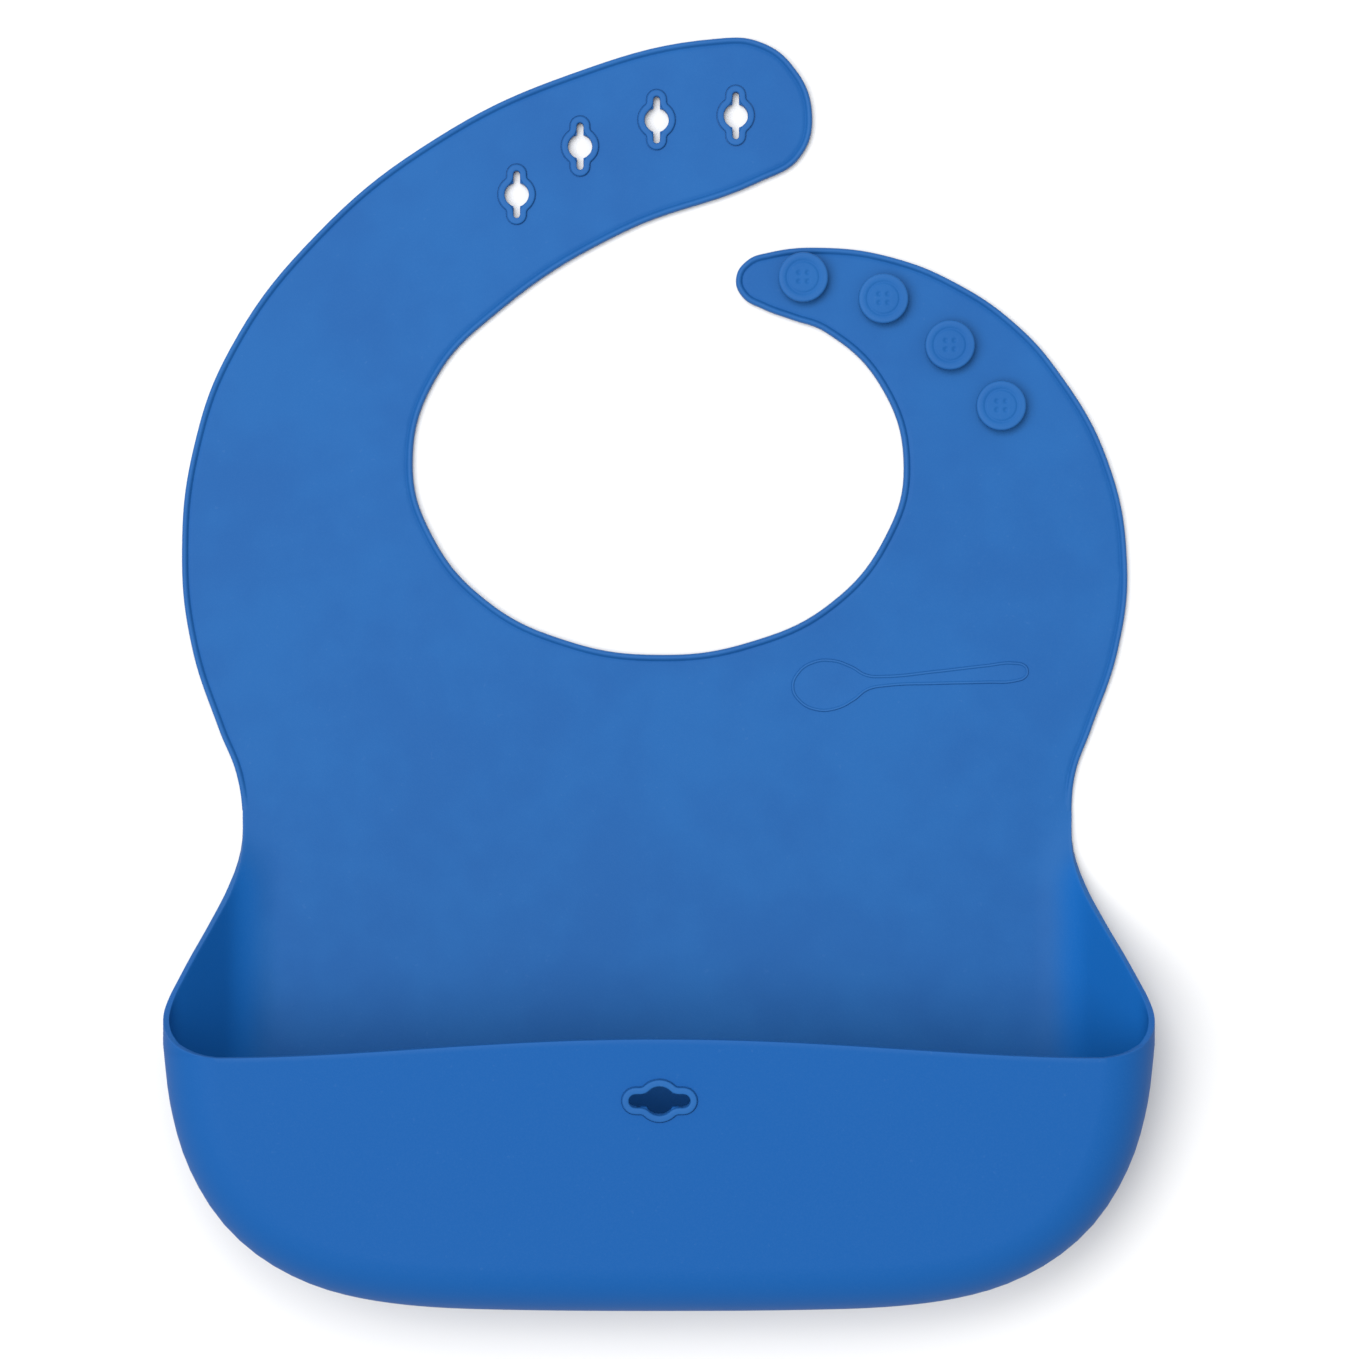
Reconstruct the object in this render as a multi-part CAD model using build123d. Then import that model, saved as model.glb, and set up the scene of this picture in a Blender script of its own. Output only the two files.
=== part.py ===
from build123d import *

import os
from math import cos, radians, sin, tan

# A soft silicone baby bib with a catch pocket, lying flat on its back, in millimetres.
# X runs across the bib, Y runs up the bib from the pocket to the straps, and Z leaves the front face.
# The origin is under the middle of the bib's bounding box.

# Sheet and rim
SHEET = 1.8            # wall of the moulding
RIM_RISE = 0.6         # the edge bead stands this far above the sheet
RIM_WIDTH = 1.4        # width of the edge bead
WAIST_GAP = 5.6        # height of the gap in the bead along the waist line
STRIP_LIFT = 0.1       # bend strips stay this far above the surface the bib rests on

# Fold lines
WAIST_Y = -36.0        # flat sheet above, pocket below
CHEST_FOLD_Y = -22.0
CHEST_FOLD_HALF = 4.0  # half the width of the strip that bends
SHOULDER_BEND_Y = 50.0
CURL_AT = (-58.6, 93.6)
CURL_TURN = 45.0       # direction of the slotted strap where it curls, in degrees from +X
BUTTON_BEND_Y = 41.5
STRAP_FOLD_HALF = 2.0
STRAP_GAP_Y = 105.0    # the slotted strap's tip is above this line, the button strap below

# Pocket
POCKET_DEPTH = 44.0    # outside, from the back to the front wall at its lip
POCKET_BLANK = 66.0    # height of the pocket's form before the front wall's plane cuts it
FRONT_SLOPE = 8.0      # degrees that the front wall falls towards the pocket's end
LIP_Y = -86.5          # the front wall's lip
POCKET_HALF = 97.0     # half width of the pocket's back
POCKET_END_Y = -135.5  # lower end of the pocket's back
POCKET_CORNER = 34.0
POCKET_FLARE = 30.0    # degrees that the walls lean outwards
BACK_ROUND = 9.0
FRONT_ROUND = 13.0
WALL_TOP = 16.0        # stiff lower walls end here, with a soft web above
FRONT_DROP = 10.0      # the web reaches this far below the front wall's outside
WALL_X = 84.0          # the side walls start outside this
END_WALL_Y = -119.0    # the end wall starts below this

# Keyholes, each a round hole with a slot through it
EYE_HOLE_R = 2.85
EYE_SLOT = (11.1, 1.56)
EYE_RIM_R = 4.3
EYE_RIM_SLOT = (14.3, 5.0)
EYE_TURN = 90.0        # degrees from +X to the slot
EYE_THICK = 2.4
EYES = [(-33.0, 110.8), (-18.1, 122.1), (-0.1, 128.3), (18.5, 129.3)]
POCKET_EYE_AT = -12.0   # measured along the front wall from its lip
POCKET_EYE_HOLE_R = 3.4
POCKET_EYE_SLOT = (14.0, 3.2)
POCKET_EYE_RIM_R = 5.1
POCKET_EYE_RIM_SLOT = (17.0, 6.4)
POCKET_EYE_TURN = 0.0
POCKET_EYE_RISE = 0.7

# Buttons, each a flat head on a short neck
BUTTONS = [(34.2, 91.1), (53.0, 86.1), (68.6, 75.2), (80.6, 61.0)]
HEAD_R = 5.85
HEAD_THICK = 1.8
HEAD_ROUND = 0.5
NECK_R = 2.6
NECK_HEIGHT = 2.1

# Raised spoon on the chest
SPOON_AT = (40.5, -3.5)
SPOON_TURN = 4.0
BOWL = (9.0, 6.2)      # radii of the spoon's bowl
HANDLE_LENGTH = 42.0
HANDLE_WIDTH = 4.2
SPOON_RISE = 0.35

FAR = 400.0            # larger than the bib, for cutting
LAP = 1.0              # regions that are joined overlap by this

# The flat sheet's outline. Each pair is a point that an arc passes through and the arc's end.
START = (-97.3, WAIST_Y)
OUTLINE = [
    ((-98.7, -25.4), (-102.6, -15.0)),      # left waist
    ((-109.4, 5.0), (-111.7, 27.0)),        # left side
    ((-109.0, 51.5), (-100.7, 74.4)),       # left shoulder
    ((-52.2, 124.5), (14.0, 147.7)),        # outer edge of the slotted strap
    ((29.8, 142.5), (36.2, 130.0)),         # its round tip
    ((33.6, 119.6), (24.0, 113.5)),
    ((-7.9, 101.9), (-36.8, 84.0)),         # its inner edge
    ((-52.4, 67.7), (-57.9, 47.5)),
    ((-53.4, 30.6), (-40.6, 15.2)),         # neck opening, left
    ((-21.6, 5.8), (0.0, 2.6)),
    ((21.6, 5.8), (40.6, 15.2)),            # neck opening, right
    ((53.4, 30.6), (57.9, 46.5)),
    ((52.7, 65.6), (39.4, 78.8)),           # inner edge of the button strap
    ((32.6, 81.5), (25.2, 84.1)),
    ((18.9, 90.6), (26.0, 97.1)),           # its narrow tip
    ((32.2, 98.3), (38.5, 98.4)),
    ((71.0, 89.6), (94.1, 69.7)),           # its outer edge
    ((106.4, 48.5), (111.1, 24.0)),         # right shoulder
    ((109.0, 4.0), (102.6, -15.0)),         # right side
    ((98.7, -25.4), (97.3, WAIST_Y)),       # right waist
]

# The pocket's mouth from the side: Y and Z of the edge, from the waist up to the front wall's lip
MOUTH = [
    (WAIST_Y, SHEET), (-47.0, 4.4), (-56.0, 10.4), (-65.0, 18.2),
    (-76.0, 28.0), (-83.0, 36.0), (-87.5, 46.0),
]


def write(node, solid):
    export_step(solid, f"parts/{node}.step")


def block(x_from, x_to, y_from, y_to, z_from=-FAR, z_to=FAR):
    """A cutting block between the given limits."""
    size = (x_to - x_from, y_to - y_from, z_to - z_from)
    middle = ((x_from + x_to) / 2, (y_from + y_to) / 2, (z_from + z_to) / 2)
    return Pos(*middle) * Box(*size)


def sheet_face():
    """The flat sheet's outline, filled, from the waist to both strap tips."""
    edges = []
    here = START
    for middle, end in OUTLINE:
        edges.append(ThreePointArc(here, middle, end))
        here = end
    edges.append(Line(here, START))
    return make_face(edges)


def keyhole_face(radius, slot, turn):
    """A round hole with a slot through it."""
    return Circle(radius) + Rot(0, 0, turn) * SlotOverall(*slot)


def flat_sheet():
    """The whole flat sheet with its edge bead and the windows for the keyhole surrounds."""
    face = sheet_face()
    bead = face - offset(face, amount=-RIM_WIDTH)
    bead -= Pos(0, WAIST_Y) * Rectangle(2 * (POCKET_HALF - RIM_WIDTH), WAIST_GAP)
    sheet = extrude(face, SHEET) + extrude(bead, SHEET + RIM_RISE)
    window = extrude(keyhole_face(EYE_RIM_R, EYE_RIM_SLOT, EYE_TURN), FAR, both=True)
    for x, y in EYES:
        sheet -= Pos(x, y) * window
    return sheet


def bend_strip(sheet, region):
    """The soft strip of sheet inside a fold region, just clear of the surface below."""
    return sheet & region & block(-FAR, FAR, -FAR, FAR, STRIP_LIFT, SHEET)


def front_plane(depth):
    """The sloping plane of the front wall, this far below its outside at the lip."""
    slope = radians(FRONT_SLOPE)
    return Plane(origin=(0, LIP_Y, POCKET_DEPTH - depth), x_dir=(1, 0, 0), z_dir=(0, -sin(slope), cos(slope)))


def above_front(depth):
    """A block that fills everything in front of front_plane."""
    return front_plane(depth) * block(-FAR, FAR, -FAR, FAR, 0, FAR)


def pocket_body(inset, back_round, front_round):
    """The pocket's closed outer or inner form, flared, with rounded back and front edges."""
    half = POCKET_HALF + inset * tan(radians(POCKET_FLARE)) - inset / cos(radians(POCKET_FLARE))
    end = POCKET_END_Y + POCKET_HALF - half
    corner = POCKET_CORNER + half - POCKET_HALF
    length = -end
    face = Pos(0, end + length / 2) * Rectangle(2 * half, length)
    face = fillet(face.vertices().sort_by(Axis.Y)[:2], corner)
    body = extrude(Pos(0, 0, inset) * face, POCKET_BLANK, taper=-POCKET_FLARE) - above_front(inset)
    body = fillet(body.faces().sort_by(Axis.Z)[0].edges(), back_round)
    return fillet(body.faces().sort_by(Axis.Z)[-1].edges(), front_round)


def pocket_shell():
    """The pocket's wall, open at its mouth, below the waist."""
    outer = pocket_body(0, BACK_ROUND, FRONT_ROUND)
    outer &= block(-FAR, FAR, -FAR, WAIST_Y)
    inner = pocket_body(SHEET, BACK_ROUND - SHEET, FRONT_ROUND - SHEET)
    shell = outer - inner
    edge = Plane.YZ * Spline(*MOUTH)
    last_y, last_z = MOUTH[-1]
    top = Plane.YZ * Polyline((last_y, last_z), (last_y, FAR), (FAR, FAR), (FAR, SHEET), (WAIST_Y, SHEET))
    mouth = extrude(make_face([*edge.edges(), *top.edges()]), FAR, both=True)
    return shell - mouth


def eyelet(hole, rim, thick):
    """The raised surround of a keyhole, through the whole wall."""
    return extrude(rim, thick) - extrude(hole, thick)


def button():
    """A flat round head with a rounded edge on a short neck."""
    head = Pos(0, 0, NECK_HEIGHT) * extrude(Circle(HEAD_R), HEAD_THICK)
    head = fillet(head.edges().sort_by(Axis.Z)[-1], HEAD_ROUND)
    return head + extrude(Circle(NECK_R), NECK_HEIGHT)


def spoon():
    """A low raised spoon, its bowl at the left."""
    bowl = Ellipse(*BOWL)
    handle = Pos(BOWL[0] + HANDLE_LENGTH / 2 - HANDLE_WIDTH, 0) * SlotOverall(HANDLE_LENGTH, HANDLE_WIDTH)
    return extrude(bowl + handle, SPOON_RISE)


def write_straps_and_chest():
    sheet = flat_sheet()
    fold_low = CHEST_FOLD_Y - CHEST_FOLD_HALF
    fold_high = CHEST_FOLD_Y + CHEST_FOLD_HALF
    write("chest_fold_strip", bend_strip(sheet, block(-FAR, FAR, fold_low, fold_high)))

    bend_low = SHOULDER_BEND_Y - STRAP_FOLD_HALF
    bend_high = SHOULDER_BEND_Y + STRAP_FOLD_HALF
    write("shoulder_bend_strip", bend_strip(sheet, block(-FAR, 0, bend_low, bend_high)))
    slotted = sheet & (block(-FAR, 0, bend_high, FAR) + block(-LAP, FAR, STRAP_GAP_Y, FAR))
    curl_frame = Pos(*CURL_AT) * Rot(0, 0, CURL_TURN)
    write("curl_bend_strip", bend_strip(
        slotted, curl_frame * block(-STRAP_FOLD_HALF, STRAP_FOLD_HALF, -FAR, FAR)))
    write("slotted_strap_shoulder", slotted & (curl_frame * block(-FAR, -STRAP_FOLD_HALF, -FAR, FAR)))
    write("slotted_strap_end", slotted & (curl_frame * block(STRAP_FOLD_HALF, FAR, -FAR, FAR)))

    button_low = BUTTON_BEND_Y - STRAP_FOLD_HALF
    button_high = BUTTON_BEND_Y + STRAP_FOLD_HALF
    write("button_bend_strip", bend_strip(sheet, block(0, FAR, button_low, button_high)))
    write("button_strap", sheet & block(0, FAR, button_high, STRAP_GAP_Y))
    chest = sheet & (block(-FAR, LAP, fold_high, bend_low) + block(0, FAR, fold_high, button_low))
    write("chest_panel", chest)
    return sheet & block(-FAR, FAR, -FAR, fold_low)


def write_pocket(waist_sheet):
    shell = pocket_shell()
    low = shell & block(-FAR, FAR, -FAR, FAR, -FAR, WALL_TOP)
    web = shell & block(-FAR, FAR, -FAR, FAR, WALL_TOP, FAR) - above_front(FRONT_DROP)
    front = shell & above_front(FRONT_DROP)
    write("pocket_wall_left", low & block(-FAR, -WALL_X, -FAR, FAR))
    write("pocket_wall_right", low & block(WALL_X, FAR, -FAR, FAR))
    write("pocket_wall_end", low & block(-WALL_X, WALL_X, -FAR, END_WALL_Y))
    write("pocket_back", waist_sheet + (low & block(-WALL_X, WALL_X, END_WALL_Y, FAR)))
    write("pocket_web_left", web & block(-FAR, -WALL_X, -FAR, FAR))
    write("pocket_web_right", web & block(WALL_X, FAR, -FAR, FAR))
    write("pocket_web_end", web & block(-WALL_X, WALL_X, -FAR, FAR))
    place = front_plane(SHEET) * Pos(0, POCKET_EYE_AT)
    hole = keyhole_face(POCKET_EYE_HOLE_R, POCKET_EYE_SLOT, POCKET_EYE_TURN)
    rim = keyhole_face(POCKET_EYE_RIM_R, POCKET_EYE_RIM_SLOT, POCKET_EYE_TURN)
    write("pocket_front", front - place * extrude(rim, FAR, both=True))
    write("pocket_keyhole_surround", place * eyelet(hole, rim, SHEET + POCKET_EYE_RISE))


def write_fastenings():
    hole = keyhole_face(EYE_HOLE_R, EYE_SLOT, EYE_TURN)
    rim = keyhole_face(EYE_RIM_R, EYE_RIM_SLOT, EYE_TURN)
    surround = eyelet(hole, rim, EYE_THICK)
    for number, (x, y) in enumerate(EYES, 1):
        write(f"keyhole_surround_{number}", Pos(x, y) * surround)
    stud = button()
    for number, (x, y) in enumerate(BUTTONS, 1):
        write(f"button_{number}", Pos(x, y, SHEET) * stud)
    write("chest_spoon", Pos(*SPOON_AT, SHEET) * Rot(0, 0, SPOON_TURN) * spoon())


def main():
    os.makedirs("parts", exist_ok=True)
    waist_sheet = write_straps_and_chest()
    write_pocket(waist_sheet)
    write_fastenings()


main()
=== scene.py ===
"""Silicone bib with a standing catch pocket: the pieces that are seen, built round the bib's own frame."""

from itertools import pairwise
from math import atan2, cos, hypot, pi, radians, sin, tan

import bmesh
import bpy
from mathutils import Matrix, Vector
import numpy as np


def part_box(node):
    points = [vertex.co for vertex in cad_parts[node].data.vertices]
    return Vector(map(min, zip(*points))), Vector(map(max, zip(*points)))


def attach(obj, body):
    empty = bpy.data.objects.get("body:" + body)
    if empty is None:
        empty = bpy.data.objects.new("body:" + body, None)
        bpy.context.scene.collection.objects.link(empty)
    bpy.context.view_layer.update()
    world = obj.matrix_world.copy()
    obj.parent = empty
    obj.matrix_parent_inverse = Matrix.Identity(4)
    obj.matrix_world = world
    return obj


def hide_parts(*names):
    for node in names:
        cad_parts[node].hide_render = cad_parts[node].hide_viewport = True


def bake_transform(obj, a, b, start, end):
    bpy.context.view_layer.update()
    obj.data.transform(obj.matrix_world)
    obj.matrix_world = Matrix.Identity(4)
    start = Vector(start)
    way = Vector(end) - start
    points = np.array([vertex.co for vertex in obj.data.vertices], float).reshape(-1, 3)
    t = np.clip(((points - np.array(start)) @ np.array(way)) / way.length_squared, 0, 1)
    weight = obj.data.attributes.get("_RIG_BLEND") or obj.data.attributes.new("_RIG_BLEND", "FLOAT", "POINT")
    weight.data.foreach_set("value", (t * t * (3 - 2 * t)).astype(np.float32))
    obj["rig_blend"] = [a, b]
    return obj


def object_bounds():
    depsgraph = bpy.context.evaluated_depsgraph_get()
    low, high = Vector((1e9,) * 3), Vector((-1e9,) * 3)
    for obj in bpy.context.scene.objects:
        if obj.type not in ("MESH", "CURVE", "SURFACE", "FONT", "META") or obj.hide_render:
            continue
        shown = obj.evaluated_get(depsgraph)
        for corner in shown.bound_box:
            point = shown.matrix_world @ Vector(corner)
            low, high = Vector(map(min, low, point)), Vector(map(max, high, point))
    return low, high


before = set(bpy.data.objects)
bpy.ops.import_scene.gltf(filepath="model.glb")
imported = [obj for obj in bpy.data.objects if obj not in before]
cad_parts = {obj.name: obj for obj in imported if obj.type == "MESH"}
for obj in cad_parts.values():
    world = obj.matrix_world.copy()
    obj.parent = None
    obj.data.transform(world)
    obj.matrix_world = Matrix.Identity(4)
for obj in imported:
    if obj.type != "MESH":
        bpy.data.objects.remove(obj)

bl_info = {
    "name": "Silicone Bib",
    "version": (1, 0, 0),
    "blender": (4, 5, 0),
    "location": "View3D > Sidebar > Bib",
    "description": "Builds a silicone baby bib with a catch pocket, a slotted strap and a button strap",
    "category": "Add Mesh",
}

CAD_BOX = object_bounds()
MM = 0.001
TINY = 1e-6
MERGE = 1e-7                   # corners nearer than this are one
CUT_REACH = 0.01               # a cutter reaches this far past what it cuts
SHARP_CORNER = radians(60.0)   # an edge that turns more than this gets a rounding
SMOOTH_UP_TO = radians(38.0)   # an edge that turns less than this is shaded smooth
STRAP_KEYHOLES = range(1, 5)
BUTTONS = range(1, 5)

# The stage, in metres. The camera stands a little left of the middle of its view.
CAMERA_X = -0.015
VIEW_CENTRE = (0.0053, -0.0032)
KEY_FROM = (-0.38, -0.02, 1.0)
SOFT_BOX_AT = (-0.1, 0.35, 1.05)
SOFT_BOX_SIZE = 0.5
FLOOR_HALF = 3.0
FLOOR_GAP = 0.00005            # the floor is this far below the bib

# Fold lines, in millimetres. Each sheet piece ends in a stretch that stays flat.
POCKET_SEAM_Y = -34.0
CHEST_FOLD = (-33.0, -11.0)
SLOTTED_SEAM_Y = 38.0
SHOULDER_BEND = (40.0, 60.0)
BUTTON_SEAM_Y = 29.0
BUTTON_BEND = (31.0, 52.0)
CURL_AT = (-58.6, 93.6)
CURL_HALF = 13.0
CURL_WAY = (cos(radians(45.0)), sin(radians(45.0)))
STRAP_GAP_Y = 105.0            # the slotted strap's tip is above this line, the button strap below
BEAD_FADE = 9.0                # the edge bead fades out over this distance at the pocket
FLAT_REACH = 8.0               # the sheet lies flat up to here, measured from the pocket's seam
LIFT_REACH = 70.0              # and has its full waves this much further up

# The flat sheet's edge, as points that one smooth closed curve passes through. It runs on below the waist.
EDGE_BELOW = [(97.4, -70.0), (-97.4, -70.0)]
EDGE = [
    (-97.4, -50.0), (-97.4, -36.0), (-98.9, -25.4), (-103.0, -15.0), (-109.5, 5.0), (-111.7, 27.0),
    (-108.9, 51.5), (-100.5, 74.3), (-80.2, 101.3), (-52.0, 124.0), (-20.3, 139.1), (14.0, 147.4),
    (24.0, 146.7), (31.9, 141.0), (36.4, 130.0), (33.6, 119.6), (24.0, 113.8), (-7.9, 102.0), (-36.6, 83.9),
    (-52.1, 67.5), (-57.5, 47.5), (-53.0, 30.8), (-40.3, 15.5), (-21.5, 6.0), (0.0, 2.6), (21.8, 5.6),
    (41.0, 14.9), (53.7, 30.4), (58.0, 46.5), (52.7, 65.6), (39.4, 78.6), (31.8, 81.4), (25.0, 83.9),
    (20.0, 86.9), (18.6, 91.3), (21.2, 95.3), (26.0, 97.1), (38.5, 98.3), (55.3, 96.0), (71.0, 89.6),
    (83.9, 80.7), (94.0, 69.6), (105.9, 48.3), (110.5, 24.0), (108.4, 4.0), (102.0, -15.0), (98.3, -25.4),
    (97.4, -36.0), (97.4, -50.0),
]

# The sheet's section from its edge inwards: distance in, height with the bead, and height without it
RIM = [
    (0.00, 1.55, 1.30), (0.07, 1.92, 1.52), (0.24, 2.22, 1.70), (0.50, 2.38, 1.78), (0.80, 2.38, 1.80),
    (1.08, 2.24, 1.80), (1.28, 2.00, 1.80), (1.40, 1.76, 1.80), (1.58, 1.66, 1.80), (1.80, 1.70, 1.80),
    (2.05, 1.79, 1.80), (2.60, 1.80, 1.80),
]
RIM_PALE_IN = 0.8              # the bead is painted paler up to here: rubbed wear and painted highlight
RIM_PALE_FADE = 0.6            # and this is how far the pale colour takes to fade out
# The section's underside from its edge inwards: distance in and height
UNDER = [(0.00, 0.40), (0.08, 0.18), (0.24, 0.05), (0.50, 0.00)]

# The left half of the edge of the pocket's flat floor, down the side and round to the middle of the end
FLOOR_EDGE = [
    (-88.3, -24.0), (-88.3, -40.0), (-88.3, -60.0), (-88.3, -78.0), (-88.3, -90.0), (-88.0, -98.0),
    (-86.3, -106.6), (-82.2, -114.7), (-75.5, -120.5), (-66.1, -124.3), (-51.6, -126.5), (-30.0, -127.3),
    (0.0, -127.5), (30.0, -127.3),
]
END_FROM_X = -62.0             # where the end's cells begin

# The pocket's outside, in millimetres
BACK_ROUND = 16.0
FRONT_ROUND = 13.0
WALL_LEAN = radians(60.0)      # the side walls' angle above the table
FRONT_TOP = 44.0
FRONT_TOP_Y = -86.5
FRONT_FALL = tan(radians(8.0))
LIP_MIDDLE_Y = -84.6
LIP_CORNER_Y = -88.9
LIP_BAND = 1.1                 # the row of cells next to the mouth's edge
ARCH_SHAPE = 1.1               # a larger value makes the lip's arch flatter in its middle
ARCH_FADE = 1.4                # a larger value makes the arch fade out sooner down the front
RISE_Y = (-35.0, -52.0)        # the walls rise out of the flat sheet between these
POCKET_MIDDLE_Y = -70.0        # the inside of the walls faces the place with this y and x = 0
PAINTED_SHADE_Z = (14.0, 26.0)        # the painted shade comes in between these heights
PAINTED_SHADE_REACH = 20.0            # and on the floor, over this distance below the lip
THIN_WALL = 0.78               # the standing walls' thickness, as a share of the floor's
THIN_FROM_Z = 16.0             # they reach it at this height
END_BOW_FROM_Y = -100.0        # the floor's rows begin to follow the curve of the end here
FLEX = (9.0, 33.0)             # the pocket bends between these heights, at its end
FLEX_Y = -120.0                # and at this y

# The pocket's mesh: down the side, each stretch ends at a y and has cells of a size
SIDE_CELLS = [(-74.0, 2.5), (-85.0, 1.0), (LIP_CORNER_Y, 0.3)]
END_CELL = 2.4
END_STEPS = 24                 # places from one point of FLOOR_EDGE to the next, before they are thinned out
MOUTH_STEPS = 12               # places from one point of MOUTH to the next
POCKET_OVERLAP = 6.0           # built past the seam, and then trimmed

# How far up the wall the mouth's edge is, along the wall's section, at places down the side
MOUTH = [
    (-20.0, 9.7), (-30.0, 9.7), (-40.0, 9.9), (-44.0, 10.5), (-48.0, 11.9), (-51.3, 13.7), (-54.6, 16.1),
    (-61.3, 22.7), (-67.8, 29.5), (-74.4, 35.9), (-77.8, 39.5), (-80.6, 43.3), (-83.2, 47.3), (-85.4, 51.1),
    (-87.4, 55.5), (-88.6, 60.3), (-88.9, 65.3), (-88.9, 70.3),
]


def smooth(t):
    """0 up to 0, 1 from 1, and a soft step between."""
    t = min(max(t, 0.0), 1.0)
    return t * t * (3 - 2 * t)


def mix(a, b, t):
    return a + (b - a) * t


# ---------------------------------------------------------------- settings


class BibSheetSettings(bpy.types.PropertyGroup):
    """The flat sheet and its edge"""
    thickness: bpy.props.FloatProperty(
        name="Thickness", description="Wall of the moulding", default=0.0018, min=0.001, unit="LENGTH")
    cell: bpy.props.FloatProperty(
        name="Cell", description="Size of the sheet's mesh cells", default=0.005, min=0.002, unit="LENGTH")
    bend_cell: bpy.props.FloatProperty(
        name="Bend cell", description="Size of the cells where the sheet bends",
        default=0.0018, unit="LENGTH")
    lift: bpy.props.FloatProperty(
        name="Lift", description="How far the limp sheet stands off the table", default=0.0006, unit="LENGTH")
    colour: bpy.props.FloatVectorProperty(
        name="Colour", description="Colour of the silicone", subtype="COLOR", size=3, min=0, max=1,
        default=(0.0100, 0.092, 0.295))
    deep_colour: bpy.props.FloatVectorProperty(
        name="Deep colour", description="Colour of its darker clouds", subtype="COLOR", size=3, min=0, max=1,
        default=(0.0078, 0.081, 0.273))
    # Also the colour of the paler edges, which are rubbed wear and painted highlight
    dust_and_sheen_colour: bpy.props.FloatVectorProperty(
        name="Dust colour", description="Colour of the fine dust on it",
        subtype="COLOR", size=3, min=0, max=1, default=(0.12, 0.24, 0.46))
    # Painted shade on the pocket's front, the tops of its walls and the floor under its lip
    painted_shade_colour: bpy.props.FloatVectorProperty(
        name="Hollow colour", description="Its colour where the thin wall hides the pocket's dark hollow",
        subtype="COLOR", size=3, min=0, max=1, default=(0.0040, 0.077, 0.280))
    # Painted light on the pocket's inner walls, for light through the thin wall
    painted_light_colour: bpy.props.FloatVectorProperty(
        name="Through colour", description="Its colour where light comes through the pocket's thin wall",
        subtype="COLOR", size=3, min=0, max=1, default=(0.0040, 0.098, 0.350))


class BibPocketSettings(bpy.types.PropertyGroup):
    """The catch pocket"""
    wall_rows: bpy.props.IntProperty(
        name="Wall rows", description="Mesh cells up the pocket's wall", default=26, min=8)
    lip_round: bpy.props.FloatProperty(
        name="Lip rounding", description="Rounding of the mouth's edge", default=0.00055, unit="LENGTH")


class BibFasteningSettings(bpy.types.PropertyGroup):
    """Keyholes, buttons and the spoon"""
    hole_radius: bpy.props.FloatProperty(
        name="Hole radius", description="Round part of a strap keyhole", default=0.00285, unit="LENGTH")
    hole_length: bpy.props.FloatProperty(
        name="Slot length", description="Length of a strap keyhole's slot", default=0.0111, unit="LENGTH")
    hole_width: bpy.props.FloatProperty(
        name="Slot width", description="Width of a strap keyhole's slot", default=0.00156, unit="LENGTH")
    pocket_hole_radius: bpy.props.FloatProperty(
        name="Pocket hole radius", description="Round part of the pocket's keyhole",
        default=0.0034, unit="LENGTH")
    pocket_hole_length: bpy.props.FloatProperty(
        name="Pocket slot length", description="Length of the pocket keyhole's slot",
        default=0.014, unit="LENGTH")
    pocket_hole_width: bpy.props.FloatProperty(
        name="Pocket slot width", description="Width of the pocket keyhole's slot",
        default=0.0032, unit="LENGTH")
    surround: bpy.props.FloatProperty(
        name="Surround", description="Width of the raised rim round a keyhole", default=0.0015, unit="LENGTH")
    groove: bpy.props.FloatProperty(
        name="Groove", description="Width and depth of the groove round that rim",
        default=0.00025, unit="LENGTH")
    surround_rise: bpy.props.FloatProperty(
        name="Surround rise", description="Height of that rim above the sheet", default=0.0006, unit="LENGTH")
    spoon_rise: bpy.props.FloatProperty(
        name="Spoon rise", description="Height of the spoon's relief", default=0.00035, unit="LENGTH")


class BibStageSettings(bpy.types.PropertyGroup):
    """Floor, light and camera"""
    camera_height: bpy.props.FloatProperty(
        name="Camera height", description="Height of the camera above the table", default=1.1, unit="LENGTH")
    view_width: bpy.props.FloatProperty(
        name="View width", description="Width of table that the camera sees", default=0.320, unit="LENGTH")
    key_strength: bpy.props.FloatProperty(
        name="Key light", description="Strength of the broad light from the left", default=2.35)
    key_softness: bpy.props.FloatProperty(
        name="Key softness", description="Angle that the broad light fills",
        default=radians(46), subtype="ANGLE")
    box_power: bpy.props.FloatProperty(
        name="Soft box", description="Power of the near soft light", default=4.6, unit="POWER")
    fill_strength: bpy.props.FloatProperty(
        name="Fill", description="Strength of the light from all round", default=0.65)
    floor_colour: bpy.props.FloatVectorProperty(
        name="Floor colour", description="Colour of the floor", subtype="COLOR", size=3, min=0, max=1,
        default=(0.72, 0.72, 0.72))


# ---------------------------------------------------------------- materials


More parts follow.
